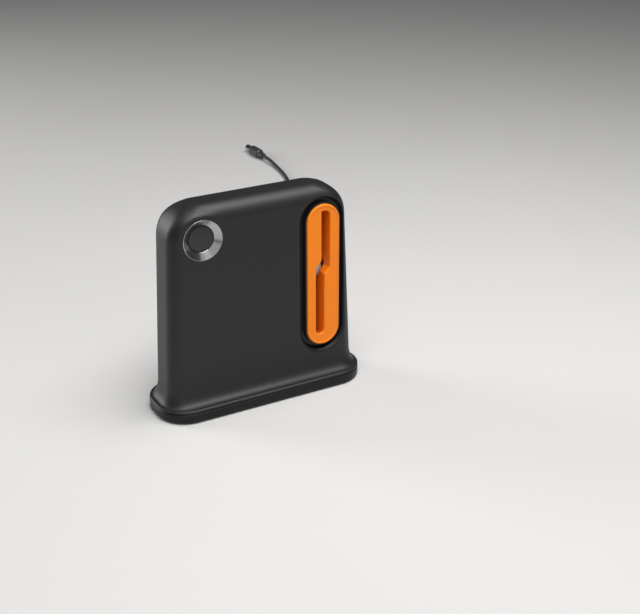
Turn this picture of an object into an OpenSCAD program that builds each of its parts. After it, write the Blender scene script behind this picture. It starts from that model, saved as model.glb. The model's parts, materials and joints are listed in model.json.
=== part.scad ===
// Upright electric scissors sharpener: a slim shell on a base plate, with a stepped blade slot,
// two grinding wheels on one spindle, a geared motor, a push button and a supply lead.
// Millimetres. Origin at the middle of the resting face, +Z up, the front faces -Y.

/* [Body] */
// Overall height
body_h = 120; // [112:1:130]
// Width of the body, measured at the table and drawn in towards the top
body_w = 116.5; // [108:0.5:124]
// Depth of the body from front face to back face
body_d = 26; // [25:0.5:32]
// How far each side leans in for every millimetre of height
body_draft = 0.046; // [0:0.002:0.05]
// Radius of the upright corners
body_corner_r = 8; // [5:0.5:11]
// Radius of the two top corners seen from the front
top_corner_r = 18; // [14:1:24]
// Radius of the long top edges
top_edge_r = 9.5; // [4:0.5:11]
// Wall thickness of the shell
wall = 2.2; // [1.6:0.1:2.6]

/* [Foot] */
// How far the foot stands out from the body at its two ends
flare = 5.1; // [4:0.1:9]
// How far the foot stands out from the body to the front and to the back
flare_d = 8.1; // [6:0.1:10]
// Height of the hollow sweep between the foot and the body
flare_h = 10; // [6:0.5:13]
// Height of the upright lip of the shell above the seam
lip_h = 1.6; // [1.2:0.1:4]
// Corner radius of the foot
foot_corner_r = 17.8; // [12:0.2:19]
// Height of the seam between shell and base plate
seam_z = 6.1; // [5.6:0.1:7]
// Thickness of the non-slip pad
pad_t = 1.4; // [1.2:0.1:1.8]
// How far the pad stands below the base plate
pad_stand = 0.6; // [0.3:0.1:0.8]
// Thickness of the base plate's floor
floor_t = 2.6; // [2.4:0.1:3]

/* [Blade guide] */
// Distance of the guide's middle from the right side of the body
guide_side = 21.4; // [20:0.1:24]
// Distance of the guide's upper end from the top of the body
guide_top = 10.5; // [8:0.1:13]
// Width of the guide
guide_w = 20.3; // [18:0.1:21]
// Height of the guide
guide_h = 84.4; // [78:0.1:86]
// Radius of the rounded outer edge of the groove round the guide
roll_r = 2.2; // [1.6:0.1:2.4]
// Width of the groove round the guide, without its rounded edge
moat_w = 4; // [3:0.1:4.2]
// Depth of the groove round the guide
moat_d = 4; // [3:0.1:4.4]
// Width of each blade slot
slot_w = 5.2; // [4.6:0.1:5.4]
// Sideways offset of the upper and the lower slot from the middle
slot_shift = 1.8; // [1:0.1:2]
// Distance of a slot's end from the guide's end, before the slot is raised
slot_end = 5.4; // [3.5:0.1:7]
// Height of the slot's middle above the guide's middle
slot_rise = 1.2; // [0:0.1:1.5]
// Height of the guide's raised rim
rim_h = 0.4; // [0.2:0.1:0.8]

/* [Power button] */
// Distance of the button's middle from the left side of the body
button_side = 23; // [20:0.2:26]
// Distance of the button's middle from the top of the body
button_top = 18; // [16:0.2:22]
// Radius of the button
button_r = 7.2; // [6:0.1:7.4]
// Outer radius of the ring
bezel_r = 11.3; // [10.4:0.1:11.8]
// How far the button lies behind the front face
button_recess = 2.4; // [1.6:0.1:2.6]
// Travel of the button
button_travel = 1.5; // [0.8:0.1:1.8]

/* [Grinding set] */
// Radius of the grinding wheels
wheel_r = 6.8; // [5.6:0.1:7.2]
// Thickness of one grinding wheel
wheel_t = 3; // [2.4:0.1:3.2]
// Drop of the wheel's rim towards its outer side
wheel_bevel = 0.9; // [0.4:0.1:1.4]
// Radius of the spindle
spindle_r = 2; // [1.5:0.1:2.5]
// Teeth of the spindle gear
gear_teeth = 26; // [24:2:26]
// Teeth of the motor pinion
pinion_teeth = 12; // [12:1:13]
// Room between the gear's teeth and the shell
gear_room = 1.2; // [0.8:0.1:2.4]
// Face width of the gears
gear_t = 5; // [4:0.5:5.5]

/* [Motor] */
// Room between the motor can and the shell
motor_room = 0.6; // [0.5:0.1:2.4]
// Length of the motor can
motor_l = 28; // [24:1:32]
// Radius of the motor shaft
shaft_r = 1.15; // [1:0.05:1.5]

/* [Supply lead] */
// Diameter of the lead
lead_d = 3.2; // [2.8:0.1:3.3]
// Height of the lead's exit at the back
gland_z = 24; // [23:0.5:26]
// Length of the tapered strain relief behind the wall
relief_l = 22; // [20:1:22]
// Diameter of the plug's grip
plug_d = 8.5; // [7.5:0.5:10]
// Length of the plug's grip
plug_l = 22; // [18:1:30]
// Radius of the plug's barrel
barrel_r = 2.75; // [1.75:0.25:2.75]
// Length of the plug's barrel
barrel_l = 9.5; // [8:0.5:12]

/* [Hidden] */
$fn = 64;
// Clearances
face_gap = 0.1;
slide_gap = 0.35;
seat_gap = 0.15;
shaft_gap = 0.05;
hole_gap = 0.2;
// Overlap of cutting shapes past the faces they cut
cut = 1;
// Shell
front_y = -body_d / 2;
back_y = body_d / 2;
groove = 0.4;
lip_round = 0.9;
lip_top = seam_z + lip_h;
flare_top = lip_top + flare_h;
corner_points = 9;
tongue_h = 2;
tongue_t = 1.8;
tongue_gap = 0.3;
// Screw bosses
boss_r = 3;
boss_top = 22;
base_boss_r = boss_r + 1;
boss_x = body_w / 2 - 10;
boss_y = body_d / 2 - 4.5;
screw_r = 1.4;
screw_head_r = 2.7;
screw_head_h = 1.5;
screw_room = 1;
base_screw_l = 12;
small_head_r = 1.9;
small_head_h = 1;
floor_top = pad_t + floor_t;
pad_recess = pad_t - pad_stand;
pad_inset = 3.5;
// Blade guide
guide_x = body_w / 2 - guide_side;
guide_z = body_h - guide_top - guide_h / 2;
hole_r = guide_w / 2 + seat_gap;
guide_run = guide_h / 2 - guide_w / 2;
collar_wall = 1.6;
guide_lip_t = 0.6;
guide_lip_in = 0.6;
rim_w = 1;
collar_depth = moat_d + 0.8;
collar_y = front_y + collar_depth;
flange_t = 1.5;
flange_y = collar_y + flange_t;
flange_lap = 1.2;
slot_half = guide_h / 2 - slot_end;
jog_z = 2.3;
jog_rise = 3.5;
// Grinding set, with its axis across the body
wheel_room = 0.6;
axis_y = flange_y + wheel_r + wheel_room;
axis_z = guide_z + slot_rise;
axis_room = min(back_y - wall - axis_y, axis_y - front_y - wall);
upright_t = 3;
left_reach = 13;
right_reach = 9.5;
left_upright_x = guide_x - left_reach;
right_upright_x = guide_x + right_reach;
bush_r = spindle_r + 1.4;
bush_flange_r = spindle_r + 3.2;
bush_flange_t = 1;
spacer_r = spindle_r + 1.2;
clip_r = spindle_r + 2;
clip_t = 0.8;
gear_side = 3.1;
gear_x = left_upright_x - gear_side - gear_t;
gear_far_x = gear_x + gear_t;
gear_module = (axis_room - gear_room) / (gear_teeth / 2 + 1);
centre_distance = gear_module * (gear_teeth + pinion_teeth) / 2;
pressure_angle = 25;
backlash = 0.16;
spindle_over = 0.8;
spindle_start = gear_x - clip_t - spindle_over;
spindle_end = right_upright_x + upright_t + clip_t + spindle_over;
// Motor
motor_r = axis_room - motor_room;
motor_z = axis_z - centre_distance;
plate_t = 2.5;
plate_side = 3;
plate_x = gear_x - plate_side - plate_t;
motor_x = plate_x - motor_l;
can_t = 1;
motor_nose_r = 3;
motor_nose_l = 1.5;
cap_l = 3;
shaft_end = 0.5;
magnet_t = 1.9;
magnet_split = 6;
spigot_l = 2;
commutator_r = 3;
commutator_x = motor_x + spigot_l + 0.6;
rotor_gap = 0.5;
rotor_r = motor_r - can_t - magnet_t - rotor_gap;
rotor_l = motor_l * 0.55;
rotor_x = motor_x + motor_l * 0.28;
motor_screw_y = motor_r * 0.68;
motor_screw_r = 1;
// Pad round the lead's hole and inner head of the strain relief
gland_pad_t = 1;
relief_head = 2.4;
// Chassis
chassis_room = 1.8;
chassis_y = body_d / 2 - wall - chassis_room;
chassis_floor_t = 3;
chassis_floor_top = floor_top + chassis_floor_t;
chassis_step = 5;
chassis_left = plate_x - chassis_step;
upright_front = flange_y + 2.7;
rear_web_t = 2;
rear_web_gap = 0.2;
upright_back = back_y - wall - gland_pad_t - relief_head - rear_web_gap - rear_web_t;
upright_over = 8;
upright_top = axis_z + bush_r + upright_over;
upright_pad_drop = 19;
upright_pad_z = axis_z - upright_pad_drop;
rear_web_drop = 10;
rear_web_top = axis_z - wheel_r - rear_web_drop;
plate_low_inset = 3;
plate_low_drop = 6;
plate_low_top = motor_z - motor_r - plate_low_drop;
plate_over = 1.5;
plate_top = motor_z + motor_r + plate_over;
chassis_screw_in = 3;
chassis_screw_edge = 3.5;
chassis_screw_x = [chassis_left + chassis_screw_in, guide_x - chassis_screw_edge - 0.5];
chassis_screw_y = chassis_y - chassis_screw_edge;
chassis_edge = 1.5;
chassis_screw_l = 5;
boss_room = 1.3;
// Button, switch and board
button_x = button_side - body_w / 2;
button_z = body_h - button_top;
bezel_t = 3;
bezel_proud = 0.2;
bezel_rim = 0.5;
button_front = front_y + button_recess;
bezel_seat_y = front_y - bezel_proud + bezel_t;
sleeve_r = button_r + slide_gap;
sleeve_wall = 1.2;
sleeve_l = 5.2;
sleeve_end = button_front + sleeve_l;
seat_pad_edge = 1;
seat_pad_r = bezel_r + seat_pad_edge;
seat_pad_t = 5;
seat_pad_y = front_y + seat_pad_t;
button_cap_t = 2.4;
button_rim_r = sleeve_r + 0.9;
button_rim_t = 1;
stem_r = 2;
skirt_r = button_r - 1;
button_y = sleeve_end + face_gap;
switch_depth = 9.2;
switch_y = button_front + switch_depth;
switch_side = 6.4;
plunger_r = 1.6;
plunger_in = 0.6;
plunger_out = button_travel + 0.4;
switch_bore = plunger_in + button_travel + 0.5;
switch_l = switch_bore + 1;
board_y = switch_y + switch_l;
board_t = 1.6;
board_w = 20;
board_drop = 20;
board_over = 8;
board_low = button_z - board_drop;
board_high = button_z + board_over;
board_boss_r = 2.4;
board_screw_in = 3;
board_screw_x = board_w / 2 - board_screw_in;
board_screw_z = board_low + board_screw_in + 0.5;
board_screw_r = 1;
board_screw_l = 6;
// Lead, coil and plug
lead_r = lead_d / 2;
gland_side = 3.85;
gland_x = left_upright_x - gland_side;
gland_r = lead_r + 1.9;
gland_pad_r = gland_r + 3;
relief_start = back_y + 2;
relief_end = relief_start + relief_l;
relief_lip = 1.2;
relief_wall = 0.8;
relief_short = 0.5;
lead_inner_y = back_y - wall - 4;
coil_layers = 2;
coil_turns_in = 4.25;
coil_climb = 0.5;
coil_turns = coil_layers * coil_turns_in + coil_climb;
coil_pitch = lead_d + 1;
coil_rise = lead_d + 0.6;
coil_mid_r = 17.5;
coil_out_r = coil_mid_r + coil_pitch * coil_turns_in / 2;
coil_in_r = coil_mid_r - coil_pitch * coil_turns_in / 2;
coil_y = 90;
coil_x = gland_x + coil_out_r;
coil_rings = 24;
tie_t = 1.2;
tie_gap = 0.4;
tie_w = 6;
coil_z = tie_t + tie_gap + lead_r;
coil_top_z = coil_z + coil_rise;
plug_x = 201;
plug_y = 384;
plug_z = plug_d / 2;
plug_neck_r = lead_r + 0.9;
plug_neck_l = 7;
plug_edge = 1;
tube_sides = 8;
coil_sides = 6;
// Route from the strain relief down to the coil
route_in = [
    [gland_x, lead_inner_y, gland_z], [gland_x, 24, gland_z], [gland_x, relief_end, gland_z],
    [gland_x, 44, 23.2], [gland_x, 50, 20.4], [gland_x, 56, 16], [gland_x, 62, 11.4], [gland_x, 68, 7.6],
    [gland_x, 74, 4.8], [gland_x, 79, 3.5], [gland_x, coil_y - 2 * lead_d, coil_z],
    [gland_x, coil_y - lead_d, coil_z]];
// Route from the coil along the table to the plug
route_out = [
    [gland_x, coil_y + lead_d, coil_top_z], [gland_x, coil_y + 8, coil_top_z], [21, 106, 6], [25, 116, 4],
    [32, 128, 2.2], [42, 141, lead_r], [56, 157, lead_r], [74, 176, lead_r], [95, 198, lead_r],
    [117, 221, lead_r], [138, 243, lead_r], [155, 262, lead_r], [167, 277, lead_r], [177, 291, lead_r],
    [184.5, 304, lead_r], [190.5, 317.5, lead_r], [195.5, 333, lead_r], [198.8, 349, 1.9],
    [200.4, 362, 2.8], [plug_x, 373, 3.9],
    [plug_x, plug_y - lead_d, plug_z], [plug_x, plug_y, plug_z]];
// Inner wires
wire_r = 0.7;
wire_red = [0.6, 0.08, 0.06];
wire_black = [0.06, 0.06, 0.06];
wire_gap = 1.9;
wire_sides = 8;
wire_upright = [1, 1, 1];
wire_low_y = 5;
wire_low_z = gland_z + 2;
wire_clear = 0.3;
wire_lead = 2;
wire_rise_gap = 13;
wire_rise_x = motor_x - cap_l - wire_rise_gap;
wire_bend = 3;
wire_run = 6;
wire_end = 12;
wire_tail = 7;
wire_spread = 5;

// Shell sections

// How far the foot stands out at a height: lip, small round, hollow sweep
function foot_out(z) =
    let (round_z = z - lip_top + lip_round)
    z < seam_z + groove ? flare - groove + max(0, z - seam_z) :
    z < lip_top - lip_round ? flare :
    z < lip_top ? flare - lip_round + sqrt(max(0, lip_round * lip_round - round_z * round_z)) :
    z < flare_top ? (flare - lip_round) * (1 - sin(acos(1 - (z - lip_top) / flare_h))) : 0;

// Drop of a quarter round of radius r, a distance up past its start
function round_drop(r, up) = r - sqrt(max(0, r * r - up * up));

// Half width, half depth and corner radius of the shell at a height, a distance t inside its skin
function section(z, t) =
    let (top = body_h - t,
         out = foot_out(z + t),
         half_w = body_w / 2 - body_draft * z - t + out
             - round_drop(top_corner_r - t, max(0, z - top + top_corner_r - t)),
         half_d = body_d / 2 - t + out * flare_d / flare
             - round_drop(top_edge_r - t, max(0, z - top + top_edge_r - t)),
         r = body_corner_r - t + (foot_corner_r - body_corner_r) * out / flare)
    [half_w, half_d, min(r, half_d - 0.2)];

// A size to the nearest hundredth, so that rounded corners meet their sides exactly
function even(size) = round(size * 100) / 100;

// Half width and half depth of the foot at the seam
function foot_half() = [even(body_w / 2 + flare - body_draft * seam_z), even(body_d / 2 + flare_d)];

// Points of a rounded rectangle at a height
function outline(half_w, half_d, r, z) =
    [for (corner = [0:3])
        for (k = [0:corner_points - 1])
            let (a = 90 * corner + 90 * k / (corner_points - 1),
                 sx = corner == 0 || corner == 3 ? 1 : -1,
                 sy = corner < 2 ? 1 : -1)
            [sx * (half_w - r) + r * cos(a), sy * (half_d - r) + r * sin(a), z]];

function shell_ring(z, t) = let (s = section(z, t)) outline(s[0], s[1], s[2], z);

// Heights of the rings, from the bottom up
function shell_heights(low, t) = concat(
    low,
    [for (a = [0:18:90]) lip_top - t + flare_h * (1 - cos(a))],
    [for (a = [0:7.5:90]) body_h - top_corner_r + (top_corner_r - t) * sin(a)]);

// Closed skin over rings that have equal counts of points
function skin_faces(rings, count) = concat(
    [for (i = [0:rings - 2])
        for (k = [0:count - 1])
            let (a = i * count + k, b = i * count + (k + 1) % count)
            for (f = [[a, a + count, b], [b, a + count, b + count]]) f],
    [for (k = [1:count - 2]) [0, k, k + 1]],
    [for (k = [1:count - 2]) let (s = (rings - 1) * count) [s, s + k + 1, s + k]]);

module skin(rings) {
    points = [for (ring = rings) for (p = ring) p];
    polyhedron(points, skin_faces(len(rings), len(rings[0])));
}

module shell_outer() {
    heights = shell_heights([seam_z, seam_z + groove, lip_top - lip_round, lip_top - lip_round * 0.4], 0);
    skin([for (z = heights) shell_ring(z, 0)]);
}

module shell_inner() {
    low = section(seam_z, wall);
    rings = [for (z = shell_heights([], wall)) shell_ring(z, wall)];
    skin(concat([outline(low[0], low[1], low[2], seam_z - cut)], rings));
}

// Shapes that repeat

module slab(half_w, half_d, r, h) {
    linear_extrude(h) {
        square([2 * half_w, 2 * (half_d - r)], center = true);
        square([2 * (half_w - r), 2 * half_d], center = true);
        for (sx = [-1, 1])
            for (sy = [-1, 1])
                translate([sx * (half_w - r), sy * (half_d - r)]) circle(r);
    }
}

// Flat shape in the upright plane, reaching forwards from y by a depth
module from_front(y, depth) {
    translate([0, y, 0]) rotate([90, 0, 0]) linear_extrude(depth) children();
}

// Flat shape in the plane across the spindle, reaching right from x by a length
module from_side(x, length) {
    translate([x, 0, 0]) rotate([90, 0, 90]) linear_extrude(length) children();
}

// Solid or hollow round bar along X on the spindle's or the motor's height
module bar_x(x, length, r, z, bore = 0) {
    translate([x, axis_y, z])
        rotate([0, 90, 0])
            difference() {
                cylinder(h = length, r = r);
                if (bore > 0)
                    translate([0, 0, -cut]) cylinder(h = length + 2 * cut, r = bore);
            }
}

// Round bar along Y
module bar_y(x, y, z, length, r) {
    translate([x, y, z]) rotate([-90, 0, 0]) cylinder(h = length, r = r);
}

module stadium(r, run) {
    square([2 * r, 2 * run], center = true);
    for (s = [-1, 1])
        translate([0, s * run]) circle(r);
}

module at_guide() {
    translate([guide_x, guide_z]) children();
}

// Pan-head screw that points along +Z, with its head below the origin
module screw(r, head_r, head_h, length) {
    translate([0, 0, -head_h]) cylinder(h = head_h, r = head_r);
    cylinder(h = length, r = r);
}

module base_screw_places() {
    for (sx = [-1, 1])
        for (sy = [-1, 1])
            translate([sx * boss_x, sy * boss_y, 0]) children();
}

module chassis_screw_places() {
    for (x = chassis_screw_x)
        for (sy = [-1, 1])
            translate([x, sy * chassis_screw_y, 0]) children();
}

// Involute spur gear outline with a tooth centred on +Y
function involute_half(teeth, r) =
    let (base = gear_module * teeth / 2 * cos(pressure_angle), pitch = gear_module * teeth / 2,
         at = acos(min(1, base / r)))
    90 / teeth - backlash / 2 / pitch * 180 / PI
        + (tan(pressure_angle) * 180 / PI - pressure_angle) - (tan(at) * 180 / PI - at);

function gear_outline(teeth) =
    let (pitch = gear_module * teeth / 2,
         base = pitch * cos(pressure_angle),
         tip = pitch + gear_module,
         root = pitch - 1.25 * gear_module,
         low = max(base, root + 0.1),
         radii = [for (k = [0:4]) low + (tip - low) * k / 4])
    [for (i = [0:teeth - 1])
        let (middle = 90 - 360 * i / teeth)
        for (p = concat(
            [[root, involute_half(teeth, low)]],
            [for (r = radii) [r, involute_half(teeth, r)]],
            [for (k = [4:-1:0]) [radii[k], -involute_half(teeth, radii[k])]],
            [[root, -involute_half(teeth, low)]]))
        [p[0] * cos(middle + p[1]), p[0] * sin(middle + p[1])]];

// Tubes along a route

function spline_point(p0, p1, p2, p3, t) =
    (2 * p1 + (p2 - p0) * t + (2 * p0 - 5 * p1 + 4 * p2 - p3) * t * t
        + (3 * p1 - p0 - 3 * p2 + p3) * t * t * t) / 2;

function spline(route, steps) =
    let (last = len(route) - 1)
    concat(
        [for (i = [0:last - 1])
            for (k = [0:steps - 1])
                spline_point(route[max(0, i - 1)], route[i], route[i + 1], route[min(last, i + 2)],
                    k / steps)],
        [route[last]]);

function unit(v) = v / norm(v);

function tangent(path, i) = unit(path[min(len(path) - 1, i + 1)] - path[max(0, i - 1)]);

// Ring of points square to the path, turned by a direction that the path never takes
function tube_ring(path, i, r, sides, upright) =
    let (t = tangent(path, i),
         side = unit(cross(t, upright)),
         up = cross(side, t))
    [for (k = [0:sides - 1])
        let (a = 360 * (k + 0.5) / sides)
        path[i] + r * cos(a) * up + r * sin(a) * side];

module tube(path, r, sides, upright = [0, 0, 1]) {
    skin([for (i = [len(path) - 1:-1:0]) tube_ring(path, i, r, sides, upright)]);
}

// Coil: in along the lower layer, up in a half turn, out along the upper layer

function coil_radius(t) =
    t < coil_turns_in ? coil_out_r - coil_pitch * t :
    t < coil_turns_in + coil_climb ? coil_in_r :
    coil_in_r + coil_pitch * (t - coil_turns_in - coil_climb);

function coil_height(t) =
    let (u = min(1, max(0, (t - coil_turns_in) / coil_climb)))
    coil_z + coil_rise * u * u * (3 - 2 * u);

function coil_point(t) =
    let (a = 180 - 360 * t)
    [coil_x + coil_radius(t) * cos(a), coil_y + coil_radius(t) * sin(a), coil_height(t)];

coil_path = concat(
    [[gland_x, coil_y - lead_d, coil_z]],
    [for (i = [0:coil_turns * coil_rings]) coil_point(i / coil_rings)],
    [[gland_x, coil_y + lead_d, coil_top_z]]);

// Least gap between one turn of the coil and another, measured on its points
coil_self_gap = min([for (i = [1:len(coil_path) - 2])
    for (j = [i + coil_rings / 2:len(coil_path) - 2])
        norm(coil_path[i] - coil_path[j])]) - lead_d;
echo(coil_self_gap = coil_self_gap);

// Shell and base

// Profile that the groove round the guide is cut with: outwards from the hole, then into the wall.
// Its outer edge is rounded, and a thin lip is left standing close round the guide
module roll_profile() {
    difference() {
        translate([0, -moat_d]) square([moat_w + roll_r, moat_d + flare_d + cut]);
        translate([moat_w, -moat_d - cut]) square([roll_r + cut, moat_d - roll_r + cut]);
        translate([moat_w + roll_r, -roll_r]) circle(roll_r);
        translate([-cut, -moat_d - cut]) square([guide_lip_t + cut, moat_d - guide_lip_in + cut]);
    }
}

module roll_cut() {
    for (end = [0, 1])
        translate([guide_x, front_y, guide_z + (end == 0 ? 1 : -1) * guide_run])
            rotate([90, end * 180, 0])
                rotate_extrude(angle = 180)
                    translate([hole_r, 0]) roll_profile();
    for (side = [-1, 1])
        translate([guide_x, front_y, guide_z - guide_run])
            linear_extrude(2 * guide_run)
                scale([side, -1]) translate([hole_r, 0]) roll_profile();
}

module shell_bosses() {
    base_screw_places() translate([0, 0, seam_z - cut]) cylinder(h = boss_top - seam_z + cut, r = boss_r);
    for (s = [-1, 1])
        bar_y(button_x + s * board_screw_x, front_y + wall / 2, board_screw_z,
            board_y - front_y - wall / 2, board_boss_r);
    from_front(collar_y, collar_depth - wall / 2)
        at_guide() stadium(hole_r + moat_w + collar_wall, guide_run);
    bar_y(button_x, front_y + wall / 2, button_z, seat_pad_y - front_y - wall / 2, seat_pad_r);
    bar_y(gland_x, back_y - wall - gland_pad_t, gland_z, wall, gland_pad_r);
}

module housing() {
    color([0.13, 0.13, 0.135])
        difference() {
            union() {
                shell_outer();
                bar_y(button_x, front_y, button_z, seat_pad_y - front_y, seat_pad_r);
            }
            difference() {
                shell_inner();
                shell_bosses();
            }
            roll_cut();
            from_front(collar_y + cut, collar_depth + flare_d + 2 * cut)
                at_guide() stadium(hole_r, guide_run);
            bar_y(button_x, front_y - cut, button_z, seat_pad_y - front_y + 2 * cut,
                sleeve_r + sleeve_wall + seat_gap);
            bar_y(button_x, front_y - cut, button_z, bezel_seat_y - front_y + cut, bezel_r + seat_gap);
            bar_y(gland_x, back_y - wall - gland_pad_t - cut, gland_z, wall + gland_pad_t + 3 * cut,
                gland_r + shaft_gap);
            base_screw_places()
                translate([0, 0, seam_z - 2 * cut])
                    cylinder(h = base_screw_l + 2 * cut, r = screw_r + shaft_gap);
            for (s = [-1, 1])
                bar_y(button_x + s * board_screw_x, board_y - board_screw_l, board_screw_z,
                    board_screw_l + cut, board_screw_r + shaft_gap);
        }
}

module base_plate() {
    foot = foot_half();
    tongue = section(seam_z + tongue_h, wall);
    tongue_x = even(tongue[0] - tongue_gap);
    tongue_y = even(tongue[1] - tongue_gap);
    tongue_r = even(tongue[2] - tongue_gap);
    color([0.1, 0.1, 0.105])
        difference() {
            union() {
                difference() {
                    union() {
                        translate([0, 0, pad_stand])
                            slab(foot[0], foot[1], foot_corner_r, seam_z - pad_stand);
                        translate([0, 0, floor_top])
                            slab(tongue_x, tongue_y, tongue_r, seam_z + tongue_h - floor_top);
                    }
                    translate([0, 0, floor_top])
                        slab(tongue_x - tongue_t, tongue_y - tongue_t, tongue_r - tongue_t,
                            seam_z + tongue_h);
                }
                base_screw_places()
                    translate([0, 0, floor_top - cut])
                        cylinder(h = seam_z - floor_top + cut, r = base_boss_r);
            }
            translate([0, 0, pad_stand - cut])
                slab(foot[0] - pad_inset, foot[1] - pad_inset, foot_corner_r - pad_inset, pad_recess + cut);
            base_screw_places() {
                cylinder(h = seam_z + cut, r = screw_r + hole_gap);
                cylinder(h = pad_t + screw_head_h + face_gap, r = screw_head_r + hole_gap);
                translate([0, 0, seam_z]) cylinder(h = tongue_h + cut, r = boss_r + hole_gap);
            }
            chassis_screw_places() {
                cylinder(h = seam_z + cut, r = motor_screw_r + hole_gap);
                cylinder(h = pad_t + small_head_h + face_gap, r = small_head_r + hole_gap);
            }
        }
}

module non_slip_pad() {
    foot = foot_half();
    inset = pad_inset + seat_gap;
    color([0.07, 0.07, 0.07]) slab(foot[0] - inset, foot[1] - inset, foot_corner_r - inset, pad_t);
}

module base_screws() {
    color([0.6, 0.6, 0.62])
        base_screw_places()
            translate([0, 0, pad_t + screw_head_h + face_gap])
                screw(screw_r, screw_head_r, screw_head_h,
                    base_screw_l + seam_z - pad_t - screw_head_h - screw_room);
}

// Chassis

module upright(x) {
    from_side(x, upright_t)
        difference() {
            union() {
                translate([upright_front, floor_top])
                    square([upright_back - upright_front, upright_top - floor_top]);
                translate([flange_y, upright_pad_z])
                    square([upright_front - flange_y + cut, upright_top - upright_pad_z]);
            }
            translate([axis_y, axis_z]) circle(bush_r + shaft_gap);
        }
}

module motor_plate() {
    from_side(plate_x, plate_t)
        difference() {
            union() {
                translate([-chassis_y + plate_low_inset, floor_top])
                    square([chassis_y - plate_low_inset + cut, plate_low_top - floor_top + cut]);
                translate([-chassis_y, plate_low_top])
                    square([2 * chassis_y, plate_top - plate_low_top]);
            }
            translate([axis_y, motor_z]) circle(motor_nose_r + hole_gap);
            for (s = [-1, 1])
                translate([axis_y + s * motor_screw_y, motor_z]) circle(motor_screw_r + seat_gap);
        }
}

module chassis() {
    right_end = right_upright_x + upright_t;
    narrow_y = boss_y - boss_r - chassis_edge;
    wide_end = boss_x - boss_r - 2 * screw_room;
    color([0.72, 0.72, 0.7])
        difference() {
            union() {
                translate([chassis_left, -chassis_y, floor_top])
                    cube([wide_end - chassis_left, 2 * chassis_y, chassis_floor_t]);
                translate([chassis_left, -narrow_y, floor_top])
                    cube([right_end - chassis_left, 2 * narrow_y, chassis_floor_t]);
                upright(left_upright_x);
                upright(right_upright_x);
                motor_plate();
                translate([left_upright_x, upright_back, floor_top])
                    cube([right_end - left_upright_x, rear_web_t, rear_web_top - floor_top]);
            }
            chassis_screw_places() cylinder(h = chassis_floor_top + cut, r = motor_screw_r + shaft_gap);
            base_screw_places() cylinder(h = boss_top + cut, r = boss_r + boss_room);
        }
}

module chassis_screws() {
    color([0.6, 0.6, 0.62])
        chassis_screw_places()
            translate([0, 0, pad_t + small_head_h + face_gap])
                screw(motor_screw_r, small_head_r, small_head_h, chassis_screw_l);
}

// Blade guide with the stepped slot

module slot_shape() {
    h = slot_w / 2;
    a = slot_shift;
    e = slot_half - h;
    left = jog_rise + jog_z;
    right = jog_rise - jog_z;
    polygon([
        [-a - h, -e], [-a + h, -e], [-a + h, right - a], [a + h, right + a],
        [a + h, e], [a - h, e], [a - h, left + a], [-a - h, left - a]]);
    translate([a, e]) circle(h);
    translate([a - h, e]) square(h);
    translate([-a, -e]) circle(h);
}

module blade_guide() {
    r = guide_w / 2;
    color([0.95, 0.42, 0.05])
        difference() {
            union() {
                from_front(collar_y, collar_depth) at_guide() stadium(r, guide_run);
                from_front(flange_y, flange_t) at_guide() stadium(hole_r + flange_lap, guide_run);
                from_front(front_y + face_gap, rim_h + face_gap)
                    at_guide()
                        difference() {
                            stadium(r, guide_run);
                            stadium(r - rim_w, guide_run);
                        }
            }
            from_front(flange_y + cut, collar_depth + flange_t + rim_h + 2 * cut)
                at_guide() translate([0, slot_rise]) slot_shape();
        }
}

// Button, switch and board

// Ring that slopes in from the front face to the button, with the button's sleeve behind it
module button_bezel() {
    color([0.8, 0.8, 0.82])
        translate([button_x, front_y - bezel_proud, button_z])
            rotate([-90, 0, 0])
                rotate_extrude()
                    polygon([
                        [sleeve_r, button_recess + bezel_proud], [bezel_r - bezel_rim, 0], [bezel_r, 0],
                        [bezel_r, bezel_t], [sleeve_r + sleeve_wall, bezel_t],
                        [sleeve_r + sleeve_wall, sleeve_end - front_y + bezel_proud],
                        [sleeve_r, sleeve_end - front_y + bezel_proud]]);
}

module power_button() {
    stem_end = switch_y - plunger_out - face_gap;
    color([0.14, 0.14, 0.145]) {
        bar_y(button_x, button_front, button_z, button_cap_t, button_r);
        bar_y(button_x, button_front, button_z, button_y - button_front + button_rim_t / 2, skirt_r);
        bar_y(button_x, button_y, button_z, button_rim_t, button_rim_r);
        bar_y(button_x, button_y, button_z, stem_end - button_y, stem_r);
    }
}

module switch_body() {
    color([0.2, 0.2, 0.22])
        difference() {
            translate([button_x - switch_side / 2, switch_y, button_z - switch_side / 2])
                cube([switch_side, switch_l, switch_side]);
            bar_y(button_x, switch_y - cut, button_z, switch_bore + cut, plunger_r + shaft_gap);
        }
}

module switch_plunger() {
    color([0.75, 0.72, 0.65])
        bar_y(button_x, switch_y - plunger_out, button_z, plunger_out + plunger_in, plunger_r);
}

module circuit_board() {
    color([0.1, 0.35, 0.18])
        difference() {
            translate([button_x - board_w / 2, board_y, board_low])
                cube([board_w, board_t, board_high - board_low]);
            for (s = [-1, 1])
                bar_y(button_x + s * board_screw_x, board_y - cut, board_screw_z, board_t + 2 * cut,
                    board_screw_r + hole_gap);
        }
}

module board_screws() {
    color([0.6, 0.6, 0.62])
        for (s = [-1, 1])
            translate([button_x + s * board_screw_x, board_y + board_t, board_screw_z])
                rotate([90, 0, 0])
                    screw(board_screw_r, small_head_r, small_head_h, board_t + board_screw_l - screw_room);
}

// Motor

module motor_can() {
    color([0.62, 0.63, 0.65])
        difference() {
            union() {
                bar_x(motor_x, motor_l, motor_r, motor_z);
                bar_x(plate_x, motor_nose_l, motor_nose_r, motor_z);
            }
            bar_x(motor_x - cut, motor_l - can_t + cut, motor_r - can_t, motor_z);
            bar_x(plate_x - can_t - cut, motor_nose_l + can_t + 2 * cut, shaft_r + shaft_gap, motor_z);
            for (s = [-1, 1])
                translate([plate_x - can_t - cut, axis_y + s * motor_screw_y, motor_z])
                    rotate([0, 90, 0]) cylinder(h = can_t + 2 * cut, r = motor_screw_r + shaft_gap);
        }
}

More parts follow.
